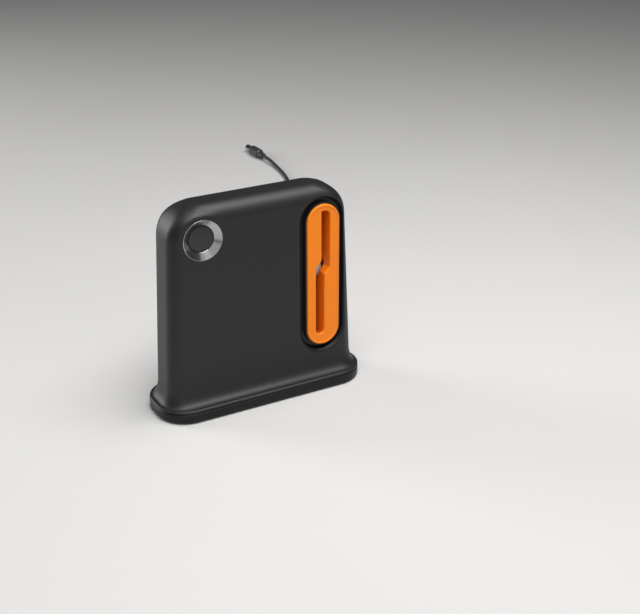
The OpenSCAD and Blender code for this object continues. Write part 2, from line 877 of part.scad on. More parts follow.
module motor_magnets() {
    outer = motor_r - can_t;
    color([0.25, 0.25, 0.27])
        difference() {
            bar_x(rotor_x, rotor_l, outer, motor_z, outer - magnet_t);
            translate([rotor_x - cut, axis_y - motor_r, motor_z - magnet_split / 2])
                cube([rotor_l + 2 * cut, 2 * motor_r, magnet_split]);
        }
}

module motor_end_cap() {
    color([0.9, 0.88, 0.82])
        difference() {
            union() {
                bar_x(motor_x - cap_l, cap_l, motor_r - hole_gap, motor_z);
                bar_x(motor_x - cap_l, cap_l + spigot_l, motor_r - can_t - seat_gap, motor_z);
            }
            bar_x(motor_x - cap_l - cut, cap_l + spigot_l + 2 * cut, shaft_r + shaft_gap, motor_z);
        }
}

module motor_shaft() {
    start = motor_x - cap_l + shaft_end;
    color([0.8, 0.8, 0.82]) bar_x(start, gear_far_x + shaft_end - start, shaft_r, motor_z);
}

module motor_rotor() {
    color([0.55, 0.35, 0.2]) {
        bar_x(rotor_x, rotor_l, rotor_r, motor_z, shaft_r);
        bar_x(commutator_x, rotor_x - commutator_x, commutator_r, motor_z, shaft_r);
    }
}

module drive_pinion() {
    color([0.85, 0.75, 0.45])
        from_side(gear_x, gear_t)
            translate([axis_y, motor_z])
                difference() {
                    rotate(180 / pinion_teeth) polygon(gear_outline(pinion_teeth));
                    circle(shaft_r);
                }
}

module motor_screws() {
    color([0.6, 0.6, 0.62])
        for (s = [-1, 1])
            translate([plate_x + plate_t, axis_y + s * motor_screw_y, motor_z])
                rotate([0, -90, 0])
                    screw(motor_screw_r, small_head_r, small_head_h, plate_t + can_t);
}

// Grinding set

module spindle() {
    color([0.75, 0.75, 0.77]) bar_x(spindle_start, spindle_end - spindle_start, spindle_r, axis_z);
}

module spindle_gear() {
    color([0.9, 0.9, 0.86])
        from_side(gear_x, gear_t)
            translate([axis_y, axis_z])
                difference() {
                    rotate(180) polygon(gear_outline(gear_teeth));
                    circle(spindle_r);
                }
}

module spindle_bushes() {
    bore = spindle_r + shaft_gap;
    color([0.72, 0.55, 0.3]) {
        bar_x(left_upright_x, upright_t, bush_r, axis_z, bore);
        bar_x(left_upright_x + upright_t, bush_flange_t, bush_flange_r, axis_z, bore);
        bar_x(right_upright_x, upright_t, bush_r, axis_z, bore);
        bar_x(right_upright_x - bush_flange_t, bush_flange_t, bush_flange_r, axis_z, bore);
    }
}

module spindle_spacers() {
    left_start = left_upright_x + upright_t + bush_flange_t + face_gap;
    right_start = guide_x + wheel_t;
    right_stop = right_upright_x - bush_flange_t - face_gap;
    color([0.7, 0.7, 0.72]) {
        bar_x(gear_far_x, left_upright_x - face_gap - gear_far_x, spacer_r, axis_z, spindle_r);
        bar_x(left_start, guide_x - wheel_t - left_start, spacer_r, axis_z, spindle_r);
        bar_x(right_start, right_stop - right_start, spacer_r, axis_z, spindle_r);
    }
}

module wheel(side) {
    translate([guide_x, axis_y, axis_z])
        rotate([0, side * 90, 0])
            rotate_extrude()
                polygon([
                    [spindle_r, 0], [wheel_r, 0], [wheel_r - wheel_bevel, wheel_t], [spindle_r, wheel_t]]);
}

module upper_wheel() {
    color([0.82, 0.8, 0.76]) wheel(1);
}

module lower_wheel() {
    color([0.82, 0.8, 0.76]) wheel(-1);
}

module retaining_clips() {
    color([0.5, 0.5, 0.52]) {
        bar_x(gear_x - clip_t, clip_t, clip_r, axis_z, spindle_r);
        bar_x(right_upright_x + upright_t + face_gap, clip_t, clip_r, axis_z, spindle_r);
    }
}

// Wires inside the shell

module supply_wires() {
    for (s = [-1, 1]) {
        z = wire_low_z + s * wire_gap / 2;
        x = wire_rise_x + s * wire_gap / 2;
        color(s > 0 ? wire_red : wire_black)
            tube(spline([
                [gland_x, lead_inner_y - wire_clear, gland_z + s * wire_gap / 2],
                [gland_x, lead_inner_y - wire_lead, gland_z + s * wire_gap / 2],
                [gland_x - wire_bend, wire_low_y, z], [gland_x - 2 * wire_spread, wire_low_y, z],
                [x + 3 * wire_run, wire_low_y, z], [x + wire_run, wire_low_y, z + wire_r * wire_bend],
                [x, wire_low_y, z + 2 * wire_spread], [x, wire_low_y, board_low - wire_end],
                [x, wire_low_y, board_low], [x, board_y + board_t + wire_bend, board_low + wire_tail],
                [x, board_y + board_t + wire_clear, board_low + wire_tail]],
                4), wire_r, wire_sides, wire_upright);
    }
}

module motor_wires() {
    for (s = [-1, 1]) {
        start = motor_x - cap_l;
        x = start - wire_tail + s * wire_gap;
        color(s > 0 ? wire_red : wire_black)
            tube(spline([
                [start - wire_clear, axis_y + s * wire_spread, motor_z],
                [start - wire_lead, axis_y + s * wire_spread, motor_z],
                [start - 2 * wire_lead, axis_y + s * wire_spread, motor_z + wire_bend],
                [x, axis_y + s * wire_gap, board_low - wire_end],
                [x, board_y + board_t + wire_spread, board_low],
                [x, board_y + board_t + wire_bend, board_low + wire_end],
                [x, board_y + board_t + wire_clear, board_low + wire_end]],
                4), wire_r, wire_sides, wire_upright);
    }
}

// Lead, coil, tie and plug

module strain_relief() {
    inside = back_y - wall - gland_pad_t - relief_head;
    bore = lead_r + face_gap;
    lip = gland_r + relief_lip;
    tail = relief_end - relief_short;
    color([0.08, 0.08, 0.085])
        translate([gland_x, 0, gland_z])
            rotate([-90, 0, 0])
                rotate_extrude()
                    polygon([
                        [bore, inside], [lip, inside], [lip, inside + relief_head],
                        [gland_r, inside + relief_head], [gland_r, back_y + face_gap],
                        [lip, back_y + face_gap], [lip, relief_start],
                        [gland_r + relief_lip / 2, relief_start], [lead_r + relief_wall, tail],
                        [bore, tail]]);
}

module lead_from_housing() {
    color([0.09, 0.09, 0.095]) tube(spline(route_in, 2), lead_r, tube_sides);
}

module lead_coil() {
    color([0.09, 0.09, 0.095]) tube(coil_path, lead_r, coil_sides);
}

module coil_tie() {
    near = sqrt(coil_in_r * coil_in_r - tie_w * tie_w / 4) - lead_r - 2 * tie_gap;
    far = coil_out_r - coil_pitch / 2 + lead_r + 2 * tie_gap;
    high = coil_top_z + lead_r + tie_gap;
    color([0.06, 0.06, 0.06])
        translate([coil_x, coil_y - tie_w / 2, 0])
            difference() {
                translate([near - tie_t, 0, 0]) cube([far - near + 2 * tie_t, tie_w, high + tie_t]);
                translate([near, -cut, tie_t]) cube([far - near, tie_w + 2 * cut, high - tie_t]);
            }
}

module lead_to_plug() {
    color([0.09, 0.09, 0.095]) tube(spline(route_out, 2), lead_r, tube_sides);
}

module plug_grip() {
    grip = plug_d / 2;
    color([0.08, 0.08, 0.085])
        translate([plug_x, plug_y, plug_z])
            rotate([-90, 0, 0])
                rotate_extrude()
                    polygon([
                        [0, 0], [plug_neck_r, 0], [plug_neck_r, plug_neck_l],
                        [grip, plug_neck_l + plug_edge], [grip, plug_l - plug_edge],
                        [grip - plug_edge, plug_l], [0, plug_l]]);
}

module plug_barrel() {
    color([0.75, 0.75, 0.77])
        bar_y(plug_x, plug_y + plug_l, plug_z, barrel_l, barrel_r);
}

housing();
base_plate();
non_slip_pad();
base_screws();
chassis();
chassis_screws();
blade_guide();
button_bezel();
power_button();
switch_body();
switch_plunger();
circuit_board();
board_screws();
motor_can();
motor_magnets();
motor_end_cap();
motor_shaft();
motor_rotor();
drive_pinion();
motor_screws();
spindle();
spindle_gear();
spindle_bushes();
spindle_spacers();
upper_wheel();
lower_wheel();
retaining_clips();
supply_wires();
motor_wires();
strain_relief();
lead_from_housing();
lead_coil();
coil_tie();
lead_to_plug();
plug_grip();
plug_barrel();
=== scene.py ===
# %% [markdown]
# # Upright electric sharpener
# A slim black shell stands on a flared foot. Its front carries a round push button in a polished ring and
# a long orange guide with a stepped slot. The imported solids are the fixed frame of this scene: every
# piece is made in that frame, so it goes where the solids say. Sizes are written in millimetres and
# become metres when a piece is made.

# %% Load the frame
import json
import math

import bmesh
import bpy
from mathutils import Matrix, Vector


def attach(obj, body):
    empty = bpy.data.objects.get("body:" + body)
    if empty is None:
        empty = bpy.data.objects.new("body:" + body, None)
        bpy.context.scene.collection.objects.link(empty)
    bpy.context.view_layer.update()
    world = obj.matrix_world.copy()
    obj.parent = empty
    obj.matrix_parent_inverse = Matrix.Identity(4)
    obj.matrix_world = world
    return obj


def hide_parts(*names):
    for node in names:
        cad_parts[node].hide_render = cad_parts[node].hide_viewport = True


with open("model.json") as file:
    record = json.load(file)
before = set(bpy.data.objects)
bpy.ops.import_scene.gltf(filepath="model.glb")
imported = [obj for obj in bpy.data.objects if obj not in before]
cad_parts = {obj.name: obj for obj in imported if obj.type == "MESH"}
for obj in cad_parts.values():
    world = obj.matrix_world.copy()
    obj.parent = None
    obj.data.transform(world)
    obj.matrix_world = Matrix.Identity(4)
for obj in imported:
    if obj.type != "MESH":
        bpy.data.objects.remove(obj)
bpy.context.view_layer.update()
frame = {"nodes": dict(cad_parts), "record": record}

MM = 0.001
scene = bpy.context.scene
scene.view_settings.view_transform = "Standard"

# %% [markdown]
# ## Camera
# The object is seen from the front left and from above. A camera can be placed by eye, but here its
# angle, distance and lens were worked out from the outline of the body, so that the picture lines up with
# the solids.

# %% Place the camera
AZIMUTH, ELEVATION = math.radians(-29.564), math.radians(24.447)
DISTANCE, LENS = 694.9, 67.5
TARGET = Vector((42.13, 0, 41.66))

level = math.cos(ELEVATION)
back = Vector((math.sin(AZIMUTH) * level, -math.cos(AZIMUTH) * level, math.sin(ELEVATION)))
camera = bpy.data.objects.new("camera", bpy.data.cameras.new("camera"))
camera.data.lens = LENS
camera.location = (TARGET + DISTANCE * back) * MM
camera.rotation_mode = "QUATERNION"
camera.rotation_quaternion = (-back).to_track_quat("-Z", "Y")
scene.collection.objects.link(camera)
scene.camera = camera
print("camera at", [round(c, 3) for c in camera.location])

# %% [markdown]
# ## Supply lead
# A thin low-voltage lead leaves the back through a strain relief. A short stretch of it shows behind the
# shell, and the rest is put away in a neat coil that the shell hides. The free stretches are lists of
# given places. The coil comes from a formula, so that its turns keep their spacing.

# %% Route of the lead
LEAD_R = 1.6
GLAND_X, GLAND_Z = 20.0, 24.0
ROUTE_IN = [
    (20, 6.8, 24), (20, 24, 24), (20, 37, 24), (20, 44, 23.2), (20, 50, 20.4), (20, 56, 16), (20, 62, 11.4),
    (20, 68, 7.6), (20, 74, 4.8), (20, 79, 3.5), (20, 83.6, 3.2), (20, 86.8, 3.2)]
ROUTE_OUT = [
    (20, 93.2, 7), (20, 98, 7), (21, 106, 6), (25, 116, 4), (32, 128, 2.2), (42, 141, 1.6), (56, 157, 1.6),
    (74, 176, 1.6), (95, 198, 1.6), (117, 221, 1.6), (138, 243, 1.6), (155, 262, 1.6), (167, 277, 1.6),
    (177, 291, 1.6), (184.5, 304, 1.6), (190.5, 317.5, 1.6), (195.5, 333, 1.6), (198.8, 349, 1.9),
    (200.4, 362, 2.8), (201, 373, 3.9), (201, 380.8, 4.25), (201, 384, 4.25)]
COIL_X, COIL_Y, COIL_Z = 46.425, 90.0, 3.2
COIL_OUT_R, COIL_IN_R, COIL_PITCH, COIL_RISE = 26.425, 8.575, 4.2, 3.8
TURNS_IN, TURNS_CLIMB, TURN_POINTS = 4.25, 0.5, 24
TURNS = 2 * TURNS_IN + TURNS_CLIMB


def ease(share):
    """A share of the way, kept within 0 and 1, with a soft start and a soft end."""
    share = min(1, max(0, share))
    return share * share * (3 - 2 * share)


def coil_point(turn):
    """Place on the coil: in along the lower layer, up in half a turn, out along the upper layer."""
    past = turn - TURNS_IN
    radius = COIL_OUT_R - COIL_PITCH * turn
    if past > 0:
        radius = COIL_IN_R + COIL_PITCH * max(0, past - TURNS_CLIMB)
    angle = math.pi * (1 - 2 * turn)
    return (COIL_X + radius * math.cos(angle), COIL_Y + radius * math.sin(angle),
            COIL_Z + COIL_RISE * ease(past / TURNS_CLIMB))


coil = [coil_point(i / TURN_POINTS) for i in range(round(TURNS * TURN_POINTS) + 1)]
route = ROUTE_IN + coil + ROUTE_OUT
lead_length = sum(math.dist(a, b) for a, b in zip(route, route[1:]))
print("lead:", len(route), "points,", round(lead_length), "mm")

# %% [markdown]
# ## The lead's curve
# A tube could be modelled along the route, but a curve with a round bevel is the natural way to make a
# lead: the places become its knots, automatic handles make them smooth, and the bevel's depth is the
# lead's radius. The two helpers serve the inner wires later.

# %% Curve of the lead
LEAD_SIDES, LEAD_STEPS = 3, 4


def new_cord(name, radius):
    """An object with an empty round curve."""
    curve = bpy.data.curves.new(name, "CURVE")
    curve.dimensions = "3D"
    curve.bevel_depth = radius * MM
    curve.use_fill_caps = True
    cord = bpy.data.objects.new(name, curve)
    scene.collection.objects.link(cord)
    return cord


def add_run(cord, places, finish_number=0):
    """Adds a smooth run through the places to the cord's curve."""
    run = cord.data.splines.new("BEZIER")
    run.bezier_points.add(len(places) - 1)
    run.material_index = finish_number
    for knot, place in zip(run.bezier_points, places):
        knot.co = Vector(place) * MM
        knot.handle_left_type = knot.handle_right_type = "AUTO"


lead = new_cord("supply_lead", LEAD_R)
lead.data.bevel_resolution, lead.data.resolution_u = LEAD_SIDES, LEAD_STEPS
add_run(lead, route)
print("lead curve:", len(lead.data.splines[0].bezier_points), "knots")

# %% [markdown]
# ## Surface effects
# Every moulded plastic shares a fine grain, a faint unevenness of colour and a roughness that wanders a
# little. Drawn metal shares fine streaks. Each effect is a node group, built once and placed in each
# material with its own values, so that a change to the grain reaches every plastic piece at once. All
# patterns read Object coordinates.

# %% Node helpers and groups
GRAIN_SHARE = 0.4
EFFECT_INPUTS = [
    ("Colour", "NodeSocketColor", (0.5, 0.5, 0.5, 1)), ("Grain", "NodeSocketFloat", 3000.0),
    ("Patches", "NodeSocketFloat", 40.0), ("Unevenness", "NodeSocketFloat", 0.1),
    ("Roughness", "NodeSocketFloat", 0.5), ("Spread", "NodeSocketFloat", 0.05)]
EFFECT_OUTPUTS = [
    ("Colour", "NodeSocketColor"), ("Roughness", "NodeSocketFloat"), ("Height", "NodeSocketFloat")]


def effect_group(name, inputs, outputs):
    """An empty shader node group with named sockets."""
    tree = bpy.data.node_groups.new(name, "ShaderNodeTree")
    for label, kind, value in inputs:
        tree.interface.new_socket(label, in_out="INPUT", socket_type=kind).default_value = value
    for label, kind in outputs:
        tree.interface.new_socket(label, in_out="OUTPUT", socket_type=kind)
    return tree, tree.nodes.new("NodeGroupInput").outputs, tree.nodes.new("NodeGroupOutput").inputs


def add_node(tree, kind, **settings):
    """A node with its properties set, and its inputs set or linked by name."""
    links = settings.pop("links", {})
    node = tree.nodes.new(kind)
    for key, value in settings.items():
        setattr(node, key, value)
    for label, value in links.items():
        if isinstance(value, bpy.types.NodeSocket):
            tree.links.new(value, node.inputs[label])
        else:
            node.inputs[label].default_value = value
    return node


def math_node(tree, operation, first, second):
    """The result of one sum on two sockets or numbers."""
    return add_node(tree, "ShaderNodeMath", operation=operation, links={0: first, 1: second}).outputs[0]


def surface_effect(name, stretch):
    """Fine grain in Height and soft patches in Colour and Roughness, drawn out where stretch is small."""
    tree, given, out = effect_group(name, EFFECT_INPUTS, EFFECT_OUTPUTS)
    place = add_node(tree, "ShaderNodeTexCoord").outputs["Object"]
    drawn = add_node(tree, "ShaderNodeMapping", links={"Vector": place, "Scale": stretch}).outputs[0]
    grain = add_node(tree, "ShaderNodeTexNoise", links={
        "Vector": drawn, "Scale": given["Grain"], "Detail": 2.0, "Roughness": 0.6}).outputs[0]
    patches = add_node(tree, "ShaderNodeTexNoise", links={
        "Vector": place, "Scale": given["Patches"], "Detail": 4.0, "Roughness": 0.55}).outputs[0]
    fine = math_node(tree, "MULTIPLY", grain, GRAIN_SHARE)
    coarse = math_node(tree, "MULTIPLY", patches, 1 - GRAIN_SHARE)
    centred = math_node(tree, "SUBTRACT", math_node(tree, "ADD", fine, coarse), 0.5)
    value = math_node(tree, "ADD", math_node(tree, "MULTIPLY", centred, given["Unevenness"]), 1.0)
    tint = add_node(tree, "ShaderNodeHueSaturation", links={"Value": value, "Color": given["Colour"]})
    wander = math_node(tree, "MULTIPLY", centred, given["Spread"])
    tree.links.new(tint.outputs[0], out["Colour"])
    tree.links.new(math_node(tree, "ADD", wander, given["Roughness"]), out["Roughness"])
    tree.links.new(grain, out["Height"])
    return tree


MOULDED = surface_effect("moulded_surface", (1, 1, 1))
DRAWN_X = surface_effect("streaks_along_x", (0.02, 1, 1))
print("effects:", MOULDED.name, DRAWN_X.name)

# %% [markdown]
# ## Finishes
# One function makes a material from a base colour, a roughness and an effect. What is the same all over
# the surface, such as metalness, is set on the shader itself; what changes over the surface comes out of
# the effect group. The table gives each finish its numbers, and the solids wear the same finishes inside
# the shell.

# %% Materials
METAL = {"Metallic": 1.0}
DRAWN_METAL = {"Metallic": 1.0, "effect": DRAWN_X}
# Each row holds colour, roughness, grain, bump and what else is special.
LOOKS = {
    "black_shell": ((0.009, 0.009, 0.0093), 0.47, 2600, 0.006, {"Specular_IOR_Level": 0.43}),
    "black_base": ((0.007, 0.007, 0.0073), 0.42, 2600, 0.006, {"Specular_IOR_Level": 0.25}),
    "button_black": ((0.050, 0.050, 0.051), 0.6, 3600, 0.012, {"Specular_IOR_Level": 0.04}),
    "orange_plastic": ((0.95, 0.235, 0.006), 0.33, 2400, 0.005, {"uneven": 0.08, "Specular_IOR_Level": 0.28}),
    "polished_metal": ((0.42, 0.42, 0.425), 0.15, 900, 0.0008, METAL),
    "pad_rubber": ((0.018, 0.018, 0.018), 0.8, 1800, 0.04, {}),
    "zinc_steel": ((0.55, 0.55, 0.57), 0.36, 1500, 0.004, METAL),
    "ground_steel": ((0.62, 0.62, 0.64), 0.25, 2500, 0.003, DRAWN_METAL),
    "motor_steel": ((0.48, 0.49, 0.51), 0.33, 2500, 0.003, DRAWN_METAL),
    "grey_nylon": ((0.42, 0.42, 0.40), 0.5, 2200, 0.01, {}),
    "white_nylon": ((0.74, 0.72, 0.66), 0.45, 2200, 0.01, {}),
    "bronze": ((0.50, 0.33, 0.15), 0.42, 3500, 0.012, METAL),
    "brass": ((0.72, 0.55, 0.25), 0.28, 2500, 0.003, DRAWN_METAL),
    "wheel_ceramic": ((0.60, 0.58, 0.54), 0.75, 2600, 0.06, {"uneven": 0.7}),
    "magnet_ferrite": ((0.05, 0.05, 0.055), 0.6, 2600, 0.02, {}),
    "rotor_copper": ((0.50, 0.22, 0.09), 0.35, 3000, 0.05, DRAWN_METAL),
    "board_green": ((0.03, 0.16, 0.06), 0.38, 500, 0.03, {"uneven": 0.9, "patches": 120}),
    "switch_black": ((0.04, 0.04, 0.045), 0.45, 2600, 0.01, {}),
    "wire_sheath": ((0.10, 0.022, 0.022), 0.42, 1500, 0.01, {}),
    "lead_sheath": ((0.030, 0.030, 0.032), 0.42, 1500, 0.01, {}),
}


def finish(name, colour, roughness, grain, bump, uneven=0.2, spread=0.1, patches=40.0, effect=MOULDED,
           **shader):
    """A procedural material. Bump is the grain's height in millimetres."""
    material = bpy.data.materials.new(name)
    material.use_nodes = True
    tree = material.node_tree
    surface = tree.nodes["Principled BSDF"]
    for label, value in shader.items():
        surface.inputs[label.replace("_", " ")].default_value = value
    group = add_node(tree, "ShaderNodeGroup", node_tree=effect, links={
        "Colour": (*colour, 1), "Grain": grain, "Patches": patches, "Unevenness": uneven,
        "Roughness": roughness, "Spread": spread})
    relief = add_node(tree, "ShaderNodeBump", links={
        "Strength": 1.0, "Distance": bump * MM, "Height": group.outputs["Height"]})
    tree.links.new(group.outputs["Colour"], surface.inputs["Base Color"])
    tree.links.new(group.outputs["Roughness"], surface.inputs["Roughness"])
    tree.links.new(relief.outputs[0], surface.inputs["Normal"])
    return material


FINISHES = {slot: finish(slot, *numbers, **special) for slot, (*numbers, special) in LOOKS.items()}
SLOT_OF = {row["node"]: row["material_slot"] for row in frame["record"]["subparts"]}
for name, node in frame["nodes"].items():
    node.data.materials.clear()
    node.data.materials.append(FINISHES[SLOT_OF[name]])
print("finishes:", len(FINISHES))

# %% [markdown]
# ## Black shell
# The shell is a slab with rounded edges that leans in slightly towards the top and sweeps out into a flat
# foot. A subdivision surface could be pulled to this shape, but its sizes are known: at each height it is
# a rounded rectangle. This cell gives that rectangle's size for any height, also at a distance inside the
# skin, which the hollow needs later.

# %% Shape of the shell at a height
# The slab, its roundings, the flare at the sides and in front, and the lip above the seam.
BODY_H, BODY_W, BODY_D, DRAFT, WALL = 120.0, 116.5, 26.0, 0.046, 2.2
CORNER_R, TOP_R, EDGE_R, LEAST_SIDE = 8.0, 18.0, 9.5, 0.2
FLARE, FLARE_D, FLARE_H, FOOT_R = 5.1, 8.1, 10.0, 17.8
SEAM, GROOVE, LIP_H, LIP_ROUND = 6.1, 0.15, 1.6, 0.9
LIP_TOP = SEAM + LIP_H
FRONT, BACK = -BODY_D / 2, BODY_D / 2


def foot_out(z):
    """How far the foot stands out: lip, small round, hollow sweep."""
    if z < SEAM + GROOVE:
        return FLARE - GROOVE + max(0, z - SEAM)
    if z < LIP_TOP:
        return FLARE - LIP_ROUND + math.sqrt(LIP_ROUND ** 2 - max(0, z - LIP_TOP + LIP_ROUND) ** 2)
    if z < LIP_TOP + FLARE_H:
        return (FLARE - LIP_ROUND) * (1 - math.sin(math.acos(1 - (z - LIP_TOP) / FLARE_H)))
    return 0.0


def round_drop(r, up):
    """How far a rounding of radius r has fallen back at a distance up from its start."""
    return r - math.sqrt(max(0, r * r - max(0, up) ** 2))


def section(z, inset=0.0):
    """Half width, half depth and corner radius at a height, a distance inside the skin."""
    out = foot_out(z + inset)
    up = z - (BODY_H - inset)
    top_r, edge_r = TOP_R - inset, EDGE_R - inset
    half_w = BODY_W / 2 - DRAFT * z - inset + out - round_drop(top_r, up + top_r)
    half_d = BODY_D / 2 - inset + out * FLARE_D / FLARE - round_drop(edge_r, up + edge_r)
    radius = CORNER_R - inset + (FOOT_R - CORNER_R) * out / FLARE
    return half_w, half_d, min(radius, half_d - LEAST_SIDE)


print("shell at the seam and at half height:", [round(v, 1) for v in section(SEAM) + section(BODY_H / 2)])

# %% [markdown]
# ## The shell's skin
# The skin joins many rounded rectangles, one above the other, which lie close together where the form
# curves. Near the ring the rounded corner is drawn level with the front, so that the ring has a flat
# seat.

# %% Skin of the shell
# Heights of loops on the flat part, the least gap between loops, and where the ring sits.
FLAT_FROM, FLAT_TO, FLAT_STEP, LOOP_GAP, LIP_LOOP = 20, 99, 3, 0.03, 0.5
BUTTON_X, BUTTON_Z, RING_R = -35.25, 102.0, 11.3
SEAT_RIM, SETTLE, SETTLE_Y, SETTLE_RUN = 0.4, 4.5, 3, 6


def new_piece(name, points, faces):
    """An object whose mesh holds points given in millimetres, with its faces turned outwards."""
    mesh = bpy.data.meshes.new(name)
    mesh.from_pydata([[c * MM for c in point] for point in points], [], faces)
    work = bmesh.new()
    work.from_mesh(mesh)
    bmesh.ops.recalc_face_normals(work, faces=work.faces)
    work.to_mesh(mesh)
    work.free()
    piece = bpy.data.objects.new(name, mesh)
    scene.collection.objects.link(piece)
    return piece


def loft(loops, ring=False):
    """Points and faces of a skin over loops of equal counts. A ring joins its last loop to its first."""
    count, last = len(loops[0]), len(loops) - 1
    pairs = [(i, i + 1) for i in range(last)] + ([(last, 0)] if ring else [])
    faces = [(a * count + k, a * count + (k + 1) % count, b * count + (k + 1) % count, b * count + k)
             for a, b in pairs for k in range(count)]
    if not ring:
        faces += [tuple(range(count)), tuple(range(last * count, (last + 1) * count))]
    return [point for loop in loops for point in loop], faces


def rectangle(half_w, half_d, r, z, corner=14, sides=(44, 6)):
    """Points of a rounded rectangle whose straight sides are divided too."""
    arcs = []
    for k in range(4):
        x, y = (half_w - r) * (1 if k in (0, 3) else -1), (half_d - r) * (1 if k < 2 else -1)
        turns = [math.pi / 2 * (k + i / corner) for i in range(corner + 1)]
        arcs.append([(x + r * math.cos(a), y + r * math.sin(a), z) for a in turns])
    points = []
    for k in range(4):
        points += arcs[k]
        a, b, count = arcs[k][-1], arcs[(k + 1) % 4][0], sides[k % 2]
        points += [tuple(p + (q - p) * i / count for p, q in zip(a, b)) for i in range(1, count)]
    return points


def angles(step, last=90):
    """Angles from 0 to a last one, in steps given in degrees."""
    return [math.radians(a) for a in range(0, last + 1, step)]


def heights(low, inset=0.0):
    """Heights of the loops, close together where the form curves."""
    sweep = [LIP_TOP - inset + FLARE_H * (1 - math.cos(a)) for a in angles(5)]
    flat = list(range(FLAT_FROM, FLAT_TO, FLAT_STEP))
    corner = [BODY_H - TOP_R + (TOP_R - inset) * math.sin(a) for a in angles(3)]
    edge = [BODY_H - EDGE_R + (EDGE_R - inset) * math.sin(a) for a in angles(6, 84)]
    found = []
    for z in sorted(low + sweep + flat + corner + edge):
        if not found or z - found[-1] > LOOP_GAP:
            found.append(z)
    found[-1] = BODY_H - inset
    return found


def settle(point):
    """Draws a point near the ring level with the front face."""
    x, y, z = point
    away = math.hypot(x - BUTTON_X, z - BUTTON_Z) - RING_R - SEAT_RIM
    near = min(1, max(0, 1 - away / SETTLE)) * min(1, max(0, (-y - SETTLE_Y) / SETTLE_RUN))
    return x, y + (FRONT - y) * ease(near), z


lip = [SEAM, SEAM + GROOVE, SEAM + LIP_LOOP]
lip += [LIP_TOP - LIP_ROUND * (1 - math.sin(a)) for a in angles(15, 75)]
skin_loops = [[settle(p) for p in rectangle(*section(z), z)] for z in heights(lip)]
housing = new_piece("shell", *loft(skin_loops))
print("shell skin:", len(skin_loops), "loops,", len(housing.data.polygons), "faces")

# %% [markdown]
# ## Hollow of the shell
# The real shell is a thin moulding. A Solidify modifier could give it a wall, but the wall has to be
# thick behind the groove and the ring, so a hollow is cut out instead: the shell's own rectangles, a wall
# further in, with a collar and a seat taken away from the hollow first. Booleans keep each shape easy to
# read.

# %% Hollow the shell
# The guide's long round, its hole and collar, the ring's seat, and how far cutters reach past a face.
GUIDE_X, GUIDE_Z, GUIDE_R, GUIDE_RUN = 36.85, 67.3, 10.15, 32.05
HOLE_R, COLLAR_W, COLLAR = 10.3, 5.6, FRONT + 4.8
SEAT_R, SEAT_D = 12.3, 5
HAIR, PAST, OVER = 0.01, 1, 2
# Steps once round a circle, and the coarser steps of a rectangle that nobody sees.
MEDIUM = 96
HIDDEN = {"corner": 8, "sides": (4, 2)}


def apply_modifiers(piece):
    """Turns what the modifiers make into the piece's own plain mesh."""
    shaped = bpy.data.meshes.new_from_object(piece.evaluated_get(bpy.context.evaluated_depsgraph_get()))
    old = piece.data
    piece.modifiers.clear()
    piece.data = shaped
    bpy.data.meshes.remove(old)


def cut(piece, other, operation="DIFFERENCE"):
    """Takes a closed shape away from a closed piece, or with UNION adds it."""
    tool = piece.modifiers.new("cut", "BOOLEAN")
    tool.operation = operation
    tool.solver = "MANIFOLD"
    tool.object = other
    apply_modifiers(piece)
    bpy.data.objects.remove(other)


def long_round(r, y, steps=64):
    """Outline of a long round in the plane of the front face."""
    ends = [math.pi * k / steps for k in range(steps + 1)]
    upper = [(GUIDE_X + r * math.cos(a), y, GUIDE_Z + GUIDE_RUN + r * math.sin(a)) for a in ends]
    lower = [(GUIDE_X - r * math.cos(a), y, GUIDE_Z - GUIDE_RUN - r * math.sin(a)) for a in ends]
    return upper + lower


def full_turn(steps):
    """Angles of equal steps once round."""
    return [2 * math.pi * k / steps for k in range(steps)]


def turned(name, profile, start, x, z, steps=MEDIUM, ring=False):
    """A piece turned about an axis along Y. Its profile gives radii and distances behind the start."""
    circles = [[(x + r * math.cos(a), start + y, z + r * math.sin(a)) for a in full_turn(steps)]
               for r, y in profile]
    return new_piece(name, *loft(circles, ring))


hollow_loops = [rectangle(*section(SEAM, WALL), SEAM - PAST, **HIDDEN)]
hollow_loops += [rectangle(*section(z, WALL), z, **HIDDEN) for z in heights([], WALL)]
hollow = new_piece("hollow", *loft(hollow_loops))
collar_loops = [long_round(HOLE_R + COLLAR_W, y) for y in (FRONT + WALL / 2, COLLAR)]
cut(hollow, new_piece("collar", *loft(collar_loops)))
cut(hollow, turned("seat", [(SEAT_R, WALL / 2), (SEAT_R, SEAT_D)], FRONT, BUTTON_X, BUTTON_Z))
cut(housing, hollow)
print("hollow shell:", len(housing.data.polygons), "faces")

# %% [markdown]
# ## Groove round the guide
# A groove with a rounded edge runs round the guide like a moat. A bevel on a cut edge would be the quick
# way, but the rounding is large, so the cutter itself carries it. Its loops follow the guide's outline:
# they start wide at the front face, turn in along a quarter round, cross the groove's floor and climb the
# thin lip that holds the guide.

# %% Cut the groove
# The rounding, width, depth and floor edge of the groove, then the lip's thickness, set-back and edge.
ROLL_R, MOAT_W, MOAT_D, MOAT_EDGE = 3.3, 2.9, 4.0, 0.5
LIP_T, LIP_IN, LIP_EDGE = 0.6, 0.6, 0.1


def rolled(radius, steps):
    """(outwards, y) along a quarter round that turns from the front face into a hole."""
    first = math.acos(1 - HAIR / radius)
    turns = [first + (math.pi / 2 - first) * k / steps for k in range(steps + 1)]
    arc = [(radius * (1 - math.sin(a)), FRONT + radius * (1 - math.cos(a))) for a in turns]
    return [(arc[0][0], FRONT - OVER)] + arc


